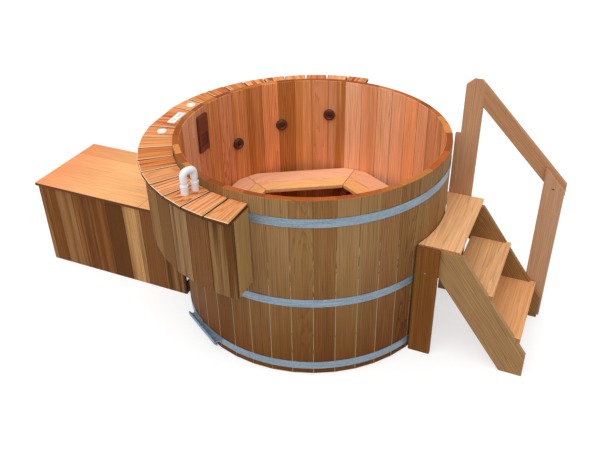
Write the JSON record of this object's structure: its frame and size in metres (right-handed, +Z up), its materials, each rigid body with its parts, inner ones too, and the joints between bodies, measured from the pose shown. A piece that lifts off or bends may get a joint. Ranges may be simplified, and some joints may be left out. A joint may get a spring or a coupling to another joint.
{
  "type": "wooden hot tub",
  "caption": "Round stave-built cedar hot tub with hooped wall, hexagonal bench, jets, skimmer, boarded skirt with control panel, lidded equipment box, and steps with a handrail.",
  "frame": {"origin": "centre of the tub on the ground, under the middle joist", "axes": "+X from the tub's axis towards the steps, -X towards the equipment box, +Y towards the handrail's side, +Z up"},
  "size_m": [3.473, 2.1412, 1.556],
  "materials": {
    "stave_cedar": "planed western red cedar, oiled",
    "cap_cedar": "planed cedar, warm orange",
    "skirt_cedar": "planed cedar, mixed tan and brown",
    "bench_cedar": "planed cedar, pale",
    "frame_cedar": "sawn cedar",
    "step_cedar": "planed cedar",
    "galvanised_steel": "galvanised, dull",
    "brown_plastic": "moulded, dark brown",
    "white_plastic": "moulded, white",
    "grey_plastic": "moulded, light grey",
    "white_pvc": "PVC pipe, white",
    "pump_paint": "painted, dark grey",
    "stainless": "stainless tube"
  },
  "bodies": {
    "tub": {"staves": "stave_cedar", "skimmer_stave": "stave_cedar", "cap_boards": "cap_cedar", "cap_panel_board": "cap_cedar", "box_fixed_top": "cap_cedar", "skirt_planks": "skirt_cedar", "skirt_end_panels": "skirt_cedar", "box_front_planks": "skirt_cedar", "box_back_planks": "skirt_cedar", "box_end_planks": "skirt_cedar", "bench_outer_boards": "bench_cedar", "bench_inner_boards": "bench_cedar", "floor_boards": "frame_cedar", "floor_joists": "frame_cedar", "bench_bearers": "frame_cedar", "bench_legs": "frame_cedar", "skirt_bands": "frame_cedar", "skirt_arms": "frame_cedar", "box_frame": "frame_cedar", "box_sill": "frame_cedar", "step_treads": "step_cedar", "step_stringers": "step_cedar", "step_near_leg": "step_cedar", "handrail_upper_post": "step_cedar", "post_packer": "step_cedar", "handrail_lower_post": "step_cedar", "handrail": "step_cedar", "hoops": "galvanised_steel", "draw_lugs": "galvanised_steel", "draw_rods": "galvanised_steel", "hinge_fixed_leaves": "galvanised_steel", "jet_bodies": "brown_plastic", "suction_fittings": "brown_plastic", "skimmer_plate": "brown_plastic", "skimmer_throat": "brown_plastic", "control_panel": "white_plastic", "air_valves": "white_plastic", "control_pack": "grey_plastic", "air_loop_pipes": "white_pvc", "air_loop_fittings": "white_pvc", "water_pipes": "white_pvc", "air_pipes": "white_pvc", "filter_housing": "white_pvc", "pump": "pump_paint", "heater": "stainless"},
    "lid": {"lid_boards": "cap_cedar", "lid_battens": "frame_cedar", "hinge_lid_leaves": "galvanised_steel"},
    "jet_face_1": {"jet_face_1": "brown_plastic"},
    "jet_face_2": {"jet_face_2": "brown_plastic"},
    "jet_face_3": {"jet_face_3": "brown_plastic"},
    "jet_face_4": {"jet_face_4": "brown_plastic"},
    "jet_face_5": {"jet_face_5": "brown_plastic"},
    "jet_face_6": {"jet_face_6": "brown_plastic"},
    "skimmer_flap": {"skimmer_flap": "brown_plastic"},
    "button_1": {"panel_button_1": "grey_plastic"},
    "button_2": {"panel_button_2": "grey_plastic"},
    "button_3": {"panel_button_3": "grey_plastic"},
    "air_knob_1": {"air_knob_1": "white_plastic"},
    "air_knob_2": {"air_knob_2": "white_plastic"}
  },
  "joints": [
    {"name": "lid_hinge", "type": "hinge", "parent": "tub", "child": "lid", "pos_m": [-1.52, 0.2425, 0.633], "axis": [-1, 0, 0], "range_deg": [0, 100]},
    {"name": "jet_face_1_turn", "type": "hinge", "parent": "tub", "child": "jet_face_1", "pos_m": [-0.19935, 0.78209, 0.967], "axis": [0.247, -0.969, 0], "range_deg": [0, 90]},
    {"name": "jet_face_2_turn", "type": "hinge", "parent": "tub", "child": "jet_face_2", "pos_m": [-0.51011, 0.62546, 0.9], "axis": [0.632, -0.7749, 0], "range_deg": [0, 90]},
    {"name": "jet_face_3_turn", "type": "hinge", "parent": "tub", "child": "jet_face_3", "pos_m": [-0.72665, 0.35128, 0.832], "axis": [0.9003, -0.4352, 0], "range_deg": [0, 90]},
    {"name": "jet_face_4_turn", "type": "hinge", "parent": "tub", "child": "jet_face_4", "pos_m": [-0.19935, -0.78209, 0.967], "axis": [0.247, 0.969, 0], "range_deg": [0, 90]},
    {"name": "jet_face_5_turn", "type": "hinge", "parent": "tub", "child": "jet_face_5", "pos_m": [-0.51011, -0.62546, 0.9], "axis": [0.632, 0.7749, 0], "range_deg": [0, 90]},
    {"name": "jet_face_6_turn", "type": "hinge", "parent": "tub", "child": "jet_face_6", "pos_m": [-0.72665, -0.35128, 0.832], "axis": [0.9003, 0.4352, 0], "range_deg": [0, 90]},
    {"name": "skimmer_flap_hinge", "type": "hinge", "parent": "tub", "child": "skimmer_flap", "pos_m": [-0.82214, 0.0244, 0.963], "axis": [-0.0297, -0.9996, 0], "range_deg": [0, 80]},
    {"name": "button_1_press", "type": "slide", "parent": "tub", "child": "button_1", "axis": [0, 0, -1], "range_m": [0, 0.001], "stiffness_N_per_m": 300, "springref_m": -0.001},
    {"name": "button_2_press", "type": "slide", "parent": "tub", "child": "button_2", "axis": [0, 0, -1], "range_m": [0, 0.001], "stiffness_N_per_m": 300, "springref_m": -0.001},
    {"name": "button_3_press", "type": "slide", "parent": "tub", "child": "button_3", "axis": [0, 0, -1], "range_m": [0, 0.001], "stiffness_N_per_m": 300, "springref_m": -0.001},
    {"name": "air_knob_1_turn", "type": "hinge", "parent": "tub", "child": "air_knob_1", "pos_m": [-0.91544, -0.28237, 1.173], "axis": [0, 0, 1], "range_deg": [0, 180]},
    {"name": "air_knob_2_turn", "type": "hinge", "parent": "tub", "child": "air_knob_2", "pos_m": [-0.96114, 0.14487, 1.173], "axis": [0, 0, 1], "range_deg": [0, 180]}
  ]
}
